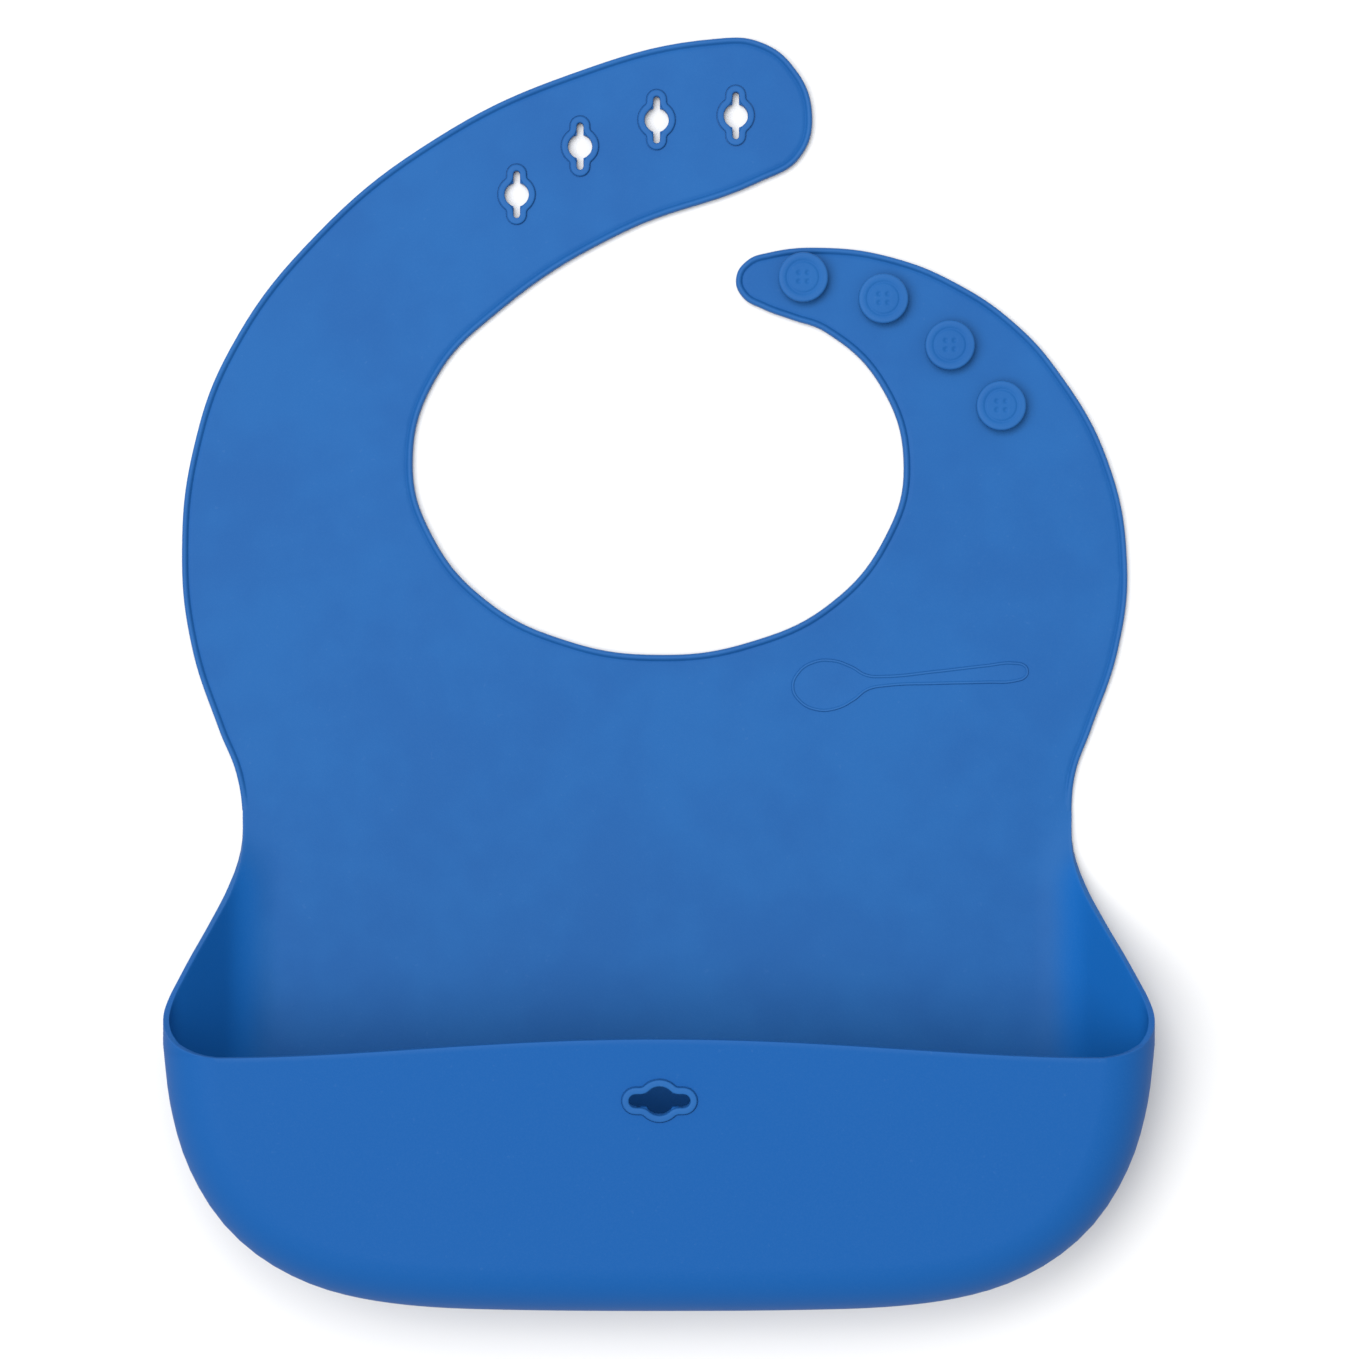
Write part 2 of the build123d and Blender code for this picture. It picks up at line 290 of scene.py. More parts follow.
class Socket:
    """A shader output that can be used in sums, which add Math nodes."""

    def __init__(self, tree, output=None):
        self.tree = tree
        self.output = output

    def node(self, kind, settings=None, inputs=None, output=0):
        """Adds a node: its settings are set first, then each input gets a value or a link."""
        node = self.tree.nodes.new(kind)
        for name, value in (settings or {}).items():
            setattr(node, name, value)
        for key, value in (inputs or {}).items():
            if isinstance(value, Socket):
                self.tree.links.new(value.output, node.inputs[key])
            else:
                node.inputs[key].default_value = value
        return Socket(self.tree, node.outputs[output] if node.outputs else None)

    def math(self, operation, first, second):
        return self.node("ShaderNodeMath", {"operation": operation}, {0: first, 1: second})

    def __add__(self, other):
        return self.math("ADD", self, other)

    __radd__ = __add__

    def __sub__(self, other):
        return self.math("SUBTRACT", self, other)

    def __rsub__(self, other):
        return self.math("SUBTRACT", other, self)

    def __mul__(self, other):
        return self.math("MULTIPLY", self, other)

    __rmul__ = __mul__

    def band(self, low, high):
        """0 below low, 1 above high, and a soft step between."""
        return self.node("ShaderNodeMapRange", {"interpolation_type": "SMOOTHSTEP"},
                         {"Value": self, "From Min": low, "From Max": high})

    def blend(self, low, high):
        """A colour between two colours, by this value."""
        return self.node("ShaderNodeMix", {"data_type": "RGBA"}, {0: self, 6: low, 7: high}, output=2)


def new_tree(name):
    """A material with an empty node tree."""
    material = bpy.data.materials.new(name)
    material.use_nodes = True
    material.node_tree.nodes.clear()
    return material, Socket(material.node_tree)


def noise(base, place, scale, detail=2.0, rough=0.5):
    return base.node("ShaderNodeTexNoise", None, {
        "Vector": place, "Scale": scale, "Detail": detail, "Roughness": rough})


def silicone(settings):
    """Matte moulded silicone: faint clouds, a fine moulded grain, paler edges that are rubbed wear and
    painted highlight, a little dust, and painted shade and painted light on the pocket.
    """
    material, base = new_tree("matte_silicone")
    place = base.node("ShaderNodeTexCoord", output="Object")
    cloud = noise(base, place, 26.0, 3.0)
    patch = noise(base, place, 120.0, 4.0)
    grain = noise(base, place, 2400.0, 2.0, 0.6)
    fleck = noise(base, place, 900.0, 1.0)
    # edge marks paler edges, rubbed wear and painted highlight; hollow marks painted shade; through marks
    # painted light
    edge, hollow, through = (base.node("ShaderNodeAttribute", {"attribute_name": name}, output="Fac")
                             for name in ("edge", "hollow", "through"))
    dust = fleck.band(0.715, 0.76) * patch.band(0.42, 0.62)
    clouds = (cloud * 0.7 + patch * 0.3).band(0.36, 0.64)
    colour = clouds.blend((*settings.deep_colour, 1), (*settings.colour, 1))
    # Painted shade on the pocket's front, high walls and floor under the lip
    colour = hollow.blend(colour, (*settings.painted_shade_colour, 1))
    # Painted light on the pocket's inner walls
    colour = through.blend(colour, (*settings.painted_light_colour, 1))
    # Dust, grain and the paler edges, which are rubbed wear and painted highlight
    pale = dust * 0.05 + edge * 0.045 + grain.band(0.35, 0.8) * 0.03
    colour = pale.blend(colour, (*settings.dust_and_sheen_colour, 1))
    bump = base.node("ShaderNodeBump", None, {
        "Strength": 0.35, "Distance": 0.00005, "Height": grain + patch * 0.8})
    shader = base.node("ShaderNodeBsdfPrincipled", None, {
        "Base Color": colour, "Roughness": 0.50 + cloud * 0.10 + grain * 0.08 - edge * 0.05,
        "Normal": bump, "IOR": 1.41, "Specular IOR Level": 0.16})
    base.node("ShaderNodeOutputMaterial", None, {"Surface": shader})
    return material


def floor_material(settings):
    """Plain pale paper."""
    material, base = new_tree("pale_floor")
    place = base.node("ShaderNodeTexCoord", output="Object")
    tone = noise(base, place, 3.0).band(0.3, 0.7)
    pale = settings.floor_colour
    colour = tone.blend((*(0.985 * c for c in pale), 1), (*pale, 1))
    shader = base.node("ShaderNodeBsdfPrincipled", None, {
        "Base Color": colour, "Roughness": 0.9, "Specular IOR Level": 0.1})
    base.node("ShaderNodeOutputMaterial", None, {"Surface": shader})
    return material


def shared_silicone(scene):
    """The one silicone material of the whole moulding."""
    return bpy.data.materials.get("matte_silicone") or silicone(scene.bib_sheet)


# ---------------------------------------------------------------- mesh tools


def smooth_loop(points, straight=()):
    """A bmesh holding one closed ring of edges, on a smooth curve through the points, in millimetres."""
    curve = bpy.data.curves.new("ring", "CURVE")
    curve.dimensions = "3D"
    spline = curve.splines.new("BEZIER")
    spline.bezier_points.add(len(points) - 1)
    for knot, (x, y) in zip(spline.bezier_points, points):
        knot.co = (x * MM, y * MM, 0)
        kind = "VECTOR" if (x, y) in straight else "AUTO"
        knot.handle_left_type = kind
        knot.handle_right_type = kind
    spline.use_cyclic_u = True
    spline.resolution_u = 9
    holder = bpy.data.objects.new("ring", curve)
    mesh = bpy.data.meshes.new_from_object(holder)
    bm = bmesh.new()
    bm.from_mesh(mesh)
    bpy.data.objects.remove(holder)
    bpy.data.curves.remove(curve)
    bpy.data.meshes.remove(mesh)
    return bm


def filled(bm):
    """The face inside the only ring of edges, facing up."""
    face = bmesh.ops.contextual_create(bm, geom=bm.edges[:])["faces"][0]
    face.normal_update()
    if face.normal.z < 0:
        face.normal_flip()
    return face


def plate(bm, low, high):
    """Makes the ring in bm a closed plate between two heights. Returns its top and bottom face."""
    bottom = filled(bm)
    made = bmesh.ops.extrude_face_region(bm, geom=[bottom], use_keep_orig=True)["geom"]
    top = next(g for g in made if isinstance(g, bmesh.types.BMFace))
    bmesh.ops.translate(bm, verts=bottom.verts[:], vec=(0, 0, low))
    bmesh.ops.translate(bm, verts=top.verts[:], vec=(0, 0, high))
    bmesh.ops.recalc_face_normals(bm, faces=bm.faces[:])
    return top, bottom


def step_in(bm, face, inward, rise):
    """Insets a face and moves it along its normal."""
    bmesh.ops.inset_region(bm, faces=[face], thickness=inward, depth=rise, use_even_offset=True,
                           use_boundary=True)


def everything(bm):
    return bm.verts[:] + bm.edges[:] + bm.faces[:]


def slice_across(bm, way, places):
    """Cuts the mesh by planes across a direction, at each place along it, and takes nothing away."""
    for place in places:
        bmesh.ops.bisect_plane(bm, geom=everything(bm), dist=MERGE, plane_co=Vector(way) * place,
                               plane_no=way)


def steps(low, high, size):
    """Evenly spaced places from low to high, about size apart."""
    count = max(1, round((high - low) / size))
    return [mix(low, high, i / count) for i in range(count + 1)]


def trim(bm, point, away):
    """Takes away what is past a point in a direction."""
    bmesh.ops.bisect_plane(bm, geom=everything(bm), dist=MERGE, plane_co=point, plane_no=away,
                           clear_outer=True)


def keep_faces(bm, wanted):
    """Takes away the faces whose middle isn't wanted."""
    gone = [f for f in bm.faces if not wanted(f.calc_center_median())]
    bmesh.ops.delete(bm, geom=gone, context="FACES")


def close_ends(bm):
    """Closes each open ring of edges with a face."""
    rim = [e for e in bm.edges if e.is_boundary]
    bmesh.ops.edgeloop_fill(bm, edges=rim)


def sharp_edges(bm):
    return [e for e in bm.edges if e.calc_face_angle(0.0) > SHARP_CORNER]


def round_edges(bm, edges, radius):
    """Rounds the edges, and returns the corners that this made."""
    return bmesh.ops.bevel(bm, geom=edges, offset=radius, offset_type="OFFSET", segments=4, profile=0.5,
                           affect="EDGES", clamp_overlap=True, material=-1)["verts"]


def cut_holes(obj, cutter):
    """Cuts the cutter's solids out of the object, and removes the cutter."""
    tool = obj.modifiers.new("holes", "BOOLEAN")
    tool.operation = "DIFFERENCE"
    tool.solver = "EXACT"
    tool.object = cutter
    bpy.context.view_layer.update()
    cut = bpy.data.meshes.new_from_object(obj.evaluated_get(bpy.context.evaluated_depsgraph_get()))
    obj.modifiers.clear()
    old = obj.data
    obj.data = cut
    bpy.data.meshes.remove(old)
    bpy.data.objects.remove(cutter)


def new_piece(name, bm, material, nodes=()):
    """Makes bm an object of smooth-shaded silicone that stands for the given nodes of the frame."""
    mesh = bpy.data.meshes.new(name)
    bm.to_mesh(mesh)
    bm.free()
    mesh.materials.append(material)
    obj = bpy.data.objects.new(name, mesh)
    bpy.context.scene.collection.objects.link(obj)
    shade(obj)
    if nodes:
        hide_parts(*nodes)
    return obj


def shade(obj):
    """Smooth shading, but for the sharper edges."""
    obj.data.polygons.foreach_set("use_smooth", [True] * len(obj.data.polygons))
    obj.data.set_sharp_from_angle(angle=SMOOTH_UP_TO)


def lift_at(x, y, scene):
    """How far the limp sheet stands off the table at a place, in metres."""
    reach = smooth((y / MM - POCKET_SEAM_Y - FLAT_REACH) / LIFT_REACH)
    wave = 0.5 + 0.27 * sin(x / MM / 23.0 + 0.9) + 0.23 * sin(y / MM / 19.0 - x / MM / 41.0)
    return scene.bib_sheet.lift * reach * wave


def settle(bm, scene):
    """Lays a flat piece on the gentle waves of the limp sheet."""
    for vert in bm.verts:
        vert.co.z += lift_at(vert.co.x, vert.co.y, scene)


# ---------------------------------------------------------------- sheet


def whole_sheet(scene):
    """The flat sheet with its edge bead, cut into cells, before it is parted at the seams."""
    settings = scene.bib_sheet
    bm = smooth_loop(EDGE_BELOW + EDGE, EDGE_BELOW)
    plain = bm.verts.layers.float.new("plain")
    # The edge mark paints the bead paler: rubbed wear and painted highlight
    edge = bm.verts.layers.float.new("edge")
    top, bottom = plate(bm, UNDER[0][1] * MM, RIM[0][1] * MM)
    for vert in bm.verts:
        vert[plain] = vert.co.z
        vert[edge] = 1.0
    for vert in top.verts:
        vert[plain] = RIM[0][2] * MM
    for (in_a, up_a, _), (in_b, up_b, flat_b) in pairwise(RIM):
        step_in(bm, top, (in_b - in_a) * MM, (up_b - up_a) * MM)
        for vert in top.verts:
            vert[plain] = flat_b * MM
            vert[edge] = 1 - smooth((in_b - RIM_PALE_IN) / RIM_PALE_FADE)
    for (in_a, up_a), (in_b, up_b) in pairwise(UNDER):
        step_in(bm, bottom, (in_b - in_a) * MM, (up_a - up_b) * MM)
        for vert in bottom.verts:
            vert[plain] = up_b * MM
            vert[edge] = 0.0
    low, high = CAD_BOX
    left = steps(low[0], 0.0, settings.cell)[1:]
    right = steps(0.0, high[0], settings.cell)[1:-1]
    slice_across(bm, (1, 0, 0), left + right)
    slice_across(bm, (0, 1, 0), steps(POCKET_SEAM_Y * MM, high[1], settings.cell)[:-1])
    return bm


def bend_cuts(bm, way, low, high, scene):
    """Adds the fine cells that let the sheet bend smoothly between two places along a direction."""
    slice_across(bm, way, steps(low * MM, high * MM, scene.bib_sheet.bend_cell))


def lay_down(bm, scene):
    """Fades the edge bead out towards the pocket and settles the sheet on the table."""
    plain = bm.verts.layers.float["plain"]
    for vert in bm.verts:
        bead = smooth((vert.co.y / MM - POCKET_SEAM_Y) / BEAD_FADE)
        vert.co.z = mix(vert[plain], vert.co.z, bead)
    settle(bm, scene)
    bm.verts.layers.float.remove(plain)


def at(x, y, z=0.0):
    return Vector((x, y, z)) * MM


def build_chest(scene, base):
    bm = base.copy()
    trim(bm, at(0, POCKET_SEAM_Y), (0, -1, 0))
    slice_across(bm, (0, 1, 0), [SLOTTED_SEAM_Y * MM, BUTTON_SEAM_Y * MM])
    keep_faces(bm, lambda c: c.y < (SLOTTED_SEAM_Y if c.x < 0 else BUTTON_SEAM_Y) * MM)
    bend_cuts(bm, (0, 1, 0), *CHEST_FOLD, scene)
    close_ends(bm)
    lay_down(bm, scene)
    piece = new_piece("chest_sheet", bm, shared_silicone(scene), ("chest_panel", "chest_fold_strip"))
    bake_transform(piece, "pocket", "chest", start=at(0, CHEST_FOLD[0]), end=at(0, CHEST_FOLD[1]))


def build_slotted_lower(scene, base):
    bm = base.copy()
    keep_faces(bm, lambda c: c.x < 0)
    trim(bm, at(0, SLOTTED_SEAM_Y), (0, -1, 0))
    trim(bm, at(*CURL_AT) - CURL_HALF * at(*CURL_WAY), (*CURL_WAY, 0))
    bend_cuts(bm, (0, 1, 0), *SHOULDER_BEND, scene)
    close_ends(bm)
    lay_down(bm, scene)
    piece = new_piece("slotted_strap_lower", bm, shared_silicone(scene),
                      ("slotted_strap_shoulder", "shoulder_bend_strip"))
    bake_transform(piece, "chest", "slotted_strap_shoulder",
             start=at(0, SHOULDER_BEND[0]), end=at(0, SHOULDER_BEND[1]))


def build_slotted_upper(scene, base):
    bm = base.copy()
    keep_faces(bm, lambda c: c.y > (SLOTTED_SEAM_Y if c.x < 0 else STRAP_GAP_Y) * MM)
    start = at(*CURL_AT) - CURL_HALF * at(*CURL_WAY)
    end = at(*CURL_AT) + CURL_HALF * at(*CURL_WAY)
    trim(bm, start, (-CURL_WAY[0], -CURL_WAY[1], 0))
    way = Vector((*CURL_WAY, 0))
    bend_cuts(bm, way, start.dot(way) / MM, end.dot(way) / MM, scene)
    close_ends(bm)
    lay_down(bm, scene)
    piece = new_piece("slotted_strap_upper", bm, shared_silicone(scene),
                      ("slotted_strap_end", "curl_bend_strip"))
    cut_keyholes(piece, strap_keyhole(scene), strap_places(scene), scene)
    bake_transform(piece, "slotted_strap_shoulder", "slotted_strap_end", start=start, end=end)


def build_button_strap(scene, base):
    bm = base.copy()
    keep_faces(bm, lambda c: c.x > 0 and c.y < STRAP_GAP_Y * MM)
    trim(bm, at(0, BUTTON_SEAM_Y), (0, -1, 0))
    bend_cuts(bm, (0, 1, 0), *BUTTON_BEND, scene)
    close_ends(bm)
    lay_down(bm, scene)
    piece = new_piece("button_strap_sheet", bm, shared_silicone(scene), ("button_strap", "button_bend_strip"))
    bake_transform(piece, "chest", "button_strap", start=at(0, BUTTON_BEND[0]), end=at(0, BUTTON_BEND[1]))


# ---------------------------------------------------------------- pocket


def curve_places(points, count):
    """Places on a smooth curve through the points but the first and last, count for each stretch."""
    places = []
    for before, start, end, after in zip(points, points[1:], points[2:], points[3:]):
        for i in range(count):
            t = i / count
            places.append(tuple(
                0.5 * (2 * b + (c - a) * t + (2 * a - 5 * b + 4 * c - d) * t * t
                       + (3 * b - a - 3 * c + d) * t ** 3)
                for a, b, c, d in zip(before, start, end, after)))
    places.append(points[-2])
    return places


def between(places, y):
    """The second number at a y, from places that run down the Y axis."""
    for (y_a, a), (y_b, b) in pairwise(places):
        if y_b <= y:
            return mix(a, b, (y - y_a) / (y_b - y_a))
    return places[-1][1]


def side_path():
    """Places down the floor's left side to the middle of its end, as (x, y, outward x, outward y)."""
    (plain_y, plain_cell), (near_y, near_cell), (last_y, last_cell) = SIDE_CELLS
    ys = steps(POCKET_SEAM_Y + POCKET_OVERLAP, plain_y, -plain_cell)[:-1]
    ys += steps(plain_y, near_y, -near_cell)[:-1]
    ys += steps(near_y, last_y, -last_cell) + [last_y - LIP_BAND]
    places = [(FLOOR_EDGE[0][0], y) for y in ys]
    for x, y in curve_places(FLOOR_EDGE, END_STEPS):
        last = places[-1]
        if y < last[1] and hypot(x - last[0], y - last[1]) > END_CELL:
            places.append((x, y))
    if places[-1][0] > -END_CELL / 2:
        places.pop()
    places.append(FLOOR_EDGE[-2])
    return [(x, y, *outward(before, after)) for before, (x, y), after
            in zip(places[:1] + places, places, places[1:] + [(1.0, places[-1][1])])]


def outward(before, after):
    """The direction out of the pocket at a place between two others on its edge."""
    along = Vector(after) - Vector(before)
    return Vector((along.y, -along.x)).normalized()


def wall_section(y, out_y):
    """Arc lengths, corners and round centre of the pocket wall's section where the floor's edge is at y."""
    first = (BACK_ROUND * sin(WALL_LEAN), BACK_ROUND * (1 - cos(WALL_LEAN)))
    fall = out_y * FRONT_FALL
    top = FRONT_TOP + (min(y, FRONT_TOP_Y) - FRONT_TOP_Y) * FRONT_FALL
    stretch = hypot(1.0, fall)
    along = (cos(WALL_LEAN), sin(WALL_LEAN))
    inner_top = top - FRONT_ROUND * stretch
    d = (FRONT_ROUND - along[0] * (inner_top - first[1]) - along[1] * first[0]) / (along[0] * fall - along[1])
    centre = (d, inner_top + fall * d)
    start = WALL_LEAN - pi / 2
    end = atan2(1.0, -fall)
    touch = (centre[0] + FRONT_ROUND * cos(start), centre[1] + FRONT_ROUND * sin(start))
    straight = hypot(touch[0] - first[0], touch[1] - first[1])
    return first, along, centre, start, end, straight


def wall_point(section, reach):
    """Distance out and height at a distance along the wall's section."""
    first, along, centre, start, end, straight = section
    round_length = BACK_ROUND * WALL_LEAN
    if reach <= round_length:
        turn = reach / BACK_ROUND
        return BACK_ROUND * sin(turn), BACK_ROUND * (1 - cos(turn))
    reach -= round_length
    if reach <= straight:
        return first[0] + along[0] * reach, first[1] + along[1] * reach
    turn = min(start + (reach - straight) / FRONT_ROUND, end)
    return centre[0] + FRONT_ROUND * cos(turn), centre[1] + FRONT_ROUND * sin(turn)


def section_length(section):
    return BACK_ROUND * WALL_LEAN + section[5] + FRONT_ROUND * (section[4] - section[3])


def placed_grid(bm, columns, rows, place):
    """Adds a grid of cells, with each corner put where place(column, row) says, in millimetres."""
    made = bmesh.ops.create_grid(bm, x_segments=columns, y_segments=rows, size=1.0)["verts"]
    for vert in made:
        column = round((vert.co.x + 1) / 2 * columns)
        row = round((vert.co.y + 1) / 2 * rows)
        vert.co = Vector(place(column, row)) * MM


def pocket_skin(scene):
    """The pocket's outside as one surface: floor, wall and front, merged along their edges."""
    rows = scene.bib_pocket.wall_rows
    half = side_path()
    path = half + [(-x, y, -out_x, out_y) for x, y, out_x, out_y in reversed(half[:-1])]
    sections = [wall_section(y, out_y) for _, y, _, out_y in path]
    turn = next(i for i, place in enumerate(half) if place[0] >= END_FROM_X)
    across = [place[0] / half[turn][0] for place in path[turn:len(path) - turn]]
    bow = [place[1] - half[turn][1] for place in path[turn:len(path) - turn]]
    columns = len(across) - 1

    def floor(column, row):
        x, y, _, _ = half[row]
        down = (y - END_BOW_FROM_Y) / (half[turn][1] - END_BOW_FROM_Y)
        return x * across[column], y + bow[column] * smooth(down), 0.0

    def wall(column, row):
        x, y, out_x, out_y = path[column]
        section = sections[column]
        full = section_length(section)
        mouth = min(between(mouths, y), full) if y > LIP_CORNER_Y + TINY else full
        out, up = wall_point(section, mouth if row == rows else (mouth - LIP_BAND) * row / (rows - 1))
        up *= smooth((y - RISE_Y[0]) / (RISE_Y[1] - RISE_Y[0]))
        return x + out_x * out, y + out_y * out, up

    mouths = curve_places(MOUTH, MOUTH_STEPS)
    lip_row = next(i for i, place in enumerate(half) if place[1] <= LIP_CORNER_Y + TINY)
    tops = [wall(i, rows) for i in range(turn, len(path) - turn)]

    def front(column, row):
        edge_x, edge_y, _ = wall(lip_row + row, rows)
        x = edge_x * tops[column][0] / tops[0][0]
        down = row / (turn - lip_row)
        arch = (1 - smooth(abs(x / edge_x) ** ARCH_SHAPE)) * (1 - smooth(ARCH_FADE * down))
        y = edge_y + (LIP_MIDDLE_Y - LIP_CORNER_Y) * arch + (tops[column][1] - tops[0][1]) * smooth(down)
        return x, y, FRONT_TOP + (y - FRONT_TOP_Y) * FRONT_FALL

    bm = bmesh.new()
    placed_grid(bm, columns, turn, floor)
    placed_grid(bm, len(path) - 1, rows, wall)
    placed_grid(bm, columns, turn - lip_row, front)
    bmesh.ops.remove_doubles(bm, verts=bm.verts[:], dist=2e-6)
    bmesh.ops.recalc_face_normals(bm, faces=bm.faces[:])
    return bm


def build_pocket(scene):
    """The pocket's shell: its skin given thickness inwards, a rounded lip and the keyhole."""
    bm = pocket_skin(scene)
    lowest = min(bm.faces, key=lambda f: f.calc_center_median().z)
    if lowest.normal.z > 0:
        bmesh.ops.reverse_faces(bm, faces=bm.faces[:])
    skin = new_piece("pocket_shell", bm, shared_silicone(scene))
    wall = skin.modifiers.new("wall", "SOLIDIFY")
    wall.thickness = scene.bib_sheet.thickness
    wall.offset = -1.0
    wall.use_even_offset = True
    thin = skin.vertex_groups.new(name="thin_wall")
    for vert in skin.data.vertices:
        thin.add([vert.index], mix(1.0, THIN_WALL, smooth(vert.co.z / MM / THIN_FROM_Z)), "REPLACE")
    wall.vertex_group = thin.name
    thick = bpy.data.meshes.new_from_object(skin.evaluated_get(bpy.context.evaluated_depsgraph_get()))
    bpy.data.objects.remove(skin)
    bm = bmesh.new()
    bm.from_mesh(thick)
    bpy.data.meshes.remove(thick)
    # The rounded lip and corners are painted paler: rubbed wear and painted highlight
    edge = bm.verts.layers.float.new("edge")
    corners = sharp_edges(bm)
    for vert in round_edges(bm, corners, scene.bib_pocket.lip_round):
        vert[edge] = 1.0
    trim(bm, at(0, POCKET_SEAM_Y), (0, 1, 0))
    close_ends(bm)
    nodes = [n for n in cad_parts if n.startswith("pocket_") and n != "pocket_keyhole_surround"]
    piece = new_piece("pocket_shell", bm, shared_silicone(scene), nodes)
    cut_keyholes(piece, pocket_keyhole(scene), [pocket_place(scene)], scene)
    mark_walls(piece)
    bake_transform(piece, "pocket", "pocket_front", start=at(0, FLEX_Y, FLEX[0]), end=at(0, FLEX_Y, FLEX[1]))


def mark_walls(piece):
    """Marks where light is painted, for light through the thin wall, and where shade is painted, where the
    wall or floor is by the dark hollow.
    """
    through = piece.data.attributes.new("through", "FLOAT", "POINT")
    hollow = piece.data.attributes.new("hollow", "FLOAT", "POINT")
    for vert, light, dark in zip(piece.data.vertices, through.data, hollow.data):
        # Painted light on faces that look in towards the pocket's middle, below the top of the front
        inwards = (at(0, POCKET_MIDDLE_Y) - vert.co).xy.normalized().dot(vert.normal.xy)
        light.value = smooth((inwards - 0.2) / 0.5) * (vert.co.z < 0.9 * FRONT_TOP * MM)
        # Painted shade high up, and on the floor under the lip, where no light is painted
        height = smooth((vert.co.z / MM - PAINTED_SHADE_Z[0]) / (PAINTED_SHADE_Z[1] - PAINTED_SHADE_Z[0]))
        depth = smooth((LIP_MIDDLE_Y - vert.co.y / MM) / PAINTED_SHADE_REACH)
        dark.value = max(height, depth) * (1 - light.value)


# ---------------------------------------------------------------- fastenings


RIM_CORNER = radians(30.0)     # the rim's outline is softened where it turns more than this
RIM_SOFT = 0.4                 # by this share of the rim's width
RIM_ROUND = 0.22               # the rim's edges are rounded by this share of its width
RIM_PALE = 0.7                 # how pale its rounded edges are painted: rubbed wear and painted highlight
POCKET_RIM_RISE = 1.3          # the rim on the pocket is this much higher than those on the strap

# The buttons, in millimetres
NECK_RADIUS = 2.6
NECK_HEIGHT = 2.1
HEAD_ROUND = 0.55              # the head's upper edge
HEAD_UNDER_ROUND = 0.3         # and its lower edge
HEAD_EDGE_DROP = 0.05
HEAD_BULGE = (0.06, 4.0)       # the top falls by the first at a distance of the second from its middle
HEAD_CELLS = (0.25, 3.25, 0.19)         # where the cells inside the ring start and end, and their size
# The ring on the head, as distances out and heights above the top
HEAD_RING = [(3.42, -0.07), (3.6, -0.19), (3.8, -0.23), (4.0, -0.19), (4.18, -0.07), (4.5, -0.03)]
# The neck's rounded ends, as distances outside it and heights above the head's underside or the sheet
NECK_END = [(0.5, 0.0), (0.15, -0.1), (0.0, -0.4)]
FOOT_END = [(0.0, 0.6), (0.15, 0.2), (0.55, -0.05)]
PALE_FROM = 4.6                # the head is painted paler from this distance out: rubbed wear and painted highlight
PALE_OVER = 0.9                # and fully so this much further
PALE_DEPTH = 1.2               # down to this far below its top
TOP_DEPTH = 0.2                # what is within this of the top gets the dimples
DIMPLE_AT = 1.45
DIMPLE_RADIUS = 0.85
DIMPLE_DEPTH = 0.28
TURN_STEPS = 72


def node_middle(node):
    low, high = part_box(node)
    return (Vector(low) + Vector(high)) / 2


def strap_places(scene):
    """Where the strap keyholes are: each place is on the sheet's underside with the slot along Y."""
    middles = [node_middle(f"keyhole_surround_{number}") for number in STRAP_KEYHOLES]
    return [Matrix.Translation((x, y, lift_at(x, y, scene))) @ Matrix.Rotation(pi / 2, 4, "Z")
            for x, y, _ in middles]


def pocket_place(scene):
    """Where the pocket's keyhole is: on the inside of the front wall, tilted with it."""
    middle = node_middle("pocket_keyhole_surround")
    on_front = FRONT_TOP * MM + (middle.y - FRONT_TOP_Y * MM) * FRONT_FALL
    return (Matrix.Translation((0, middle.y, on_front)) @ Matrix.Rotation(atan2(FRONT_FALL, 1), 4, "X")
            @ Matrix.Translation((0, 0, -scene.bib_sheet.thickness)))


def strap_keyhole(scene):
    fastening = scene.bib_fastening
    return fastening.hole_radius, fastening.hole_length, fastening.hole_width


def pocket_keyhole(scene):
    fastening = scene.bib_fastening
    return fastening.pocket_hole_radius, fastening.pocket_hole_length, fastening.pocket_hole_width


def keyhole_ring(bm, sizes, grow=0.0):
    """Adds the ring of edges of a round hole with a slot through it along X, grown outwards."""
    radius, length, width = sizes
    radius += grow
    half = width / 2 + grow
    reach = length / 2 + grow - half
    meet = atan2(half, (radius ** 2 - half ** 2) ** 0.5)
    quarter = [(reach + half * cos(a), half * sin(a)) for a in steps(0.0, pi / 2, pi / 12)]
    quarter += [(radius * cos(a), radius * sin(a)) for a in steps(meet, pi / 2, pi / 20)]
    upper = quarter + [(-x, y) for x, y in reversed(quarter[:-1])]
    ring = upper + [(x, -y) for x, y in reversed(upper[1:-1])]
    verts = [bm.verts.new((x, y, 0)) for x, y in ring]
    for pair in pairwise(verts + verts[:1]):
        bm.edges.new(pair)


def cut_keyholes(piece, sizes, places, scene):
    """Cuts keyholes through a sheet, and a fine groove round where each raised rim stands."""
    fastening = scene.bib_fastening
    around = fastening.surround + fastening.groove
    for grow, low in ((0.0, -CUT_REACH), (around, scene.bib_sheet.thickness - fastening.groove)):
        cutter = bmesh.new()
        for place in places:
            ring = bmesh.new()
            keyhole_ring(ring, sizes, grow)
            plate(ring, low, CUT_REACH)
            ring.transform(place)
            mesh = bpy.data.meshes.new("prism")
            ring.to_mesh(mesh)
            ring.free()
            cutter.from_mesh(mesh)
            bpy.data.meshes.remove(mesh)
        cut_holes(piece, new_piece("keyhole_cutter", cutter, shared_silicone(scene)))
    shade(piece)


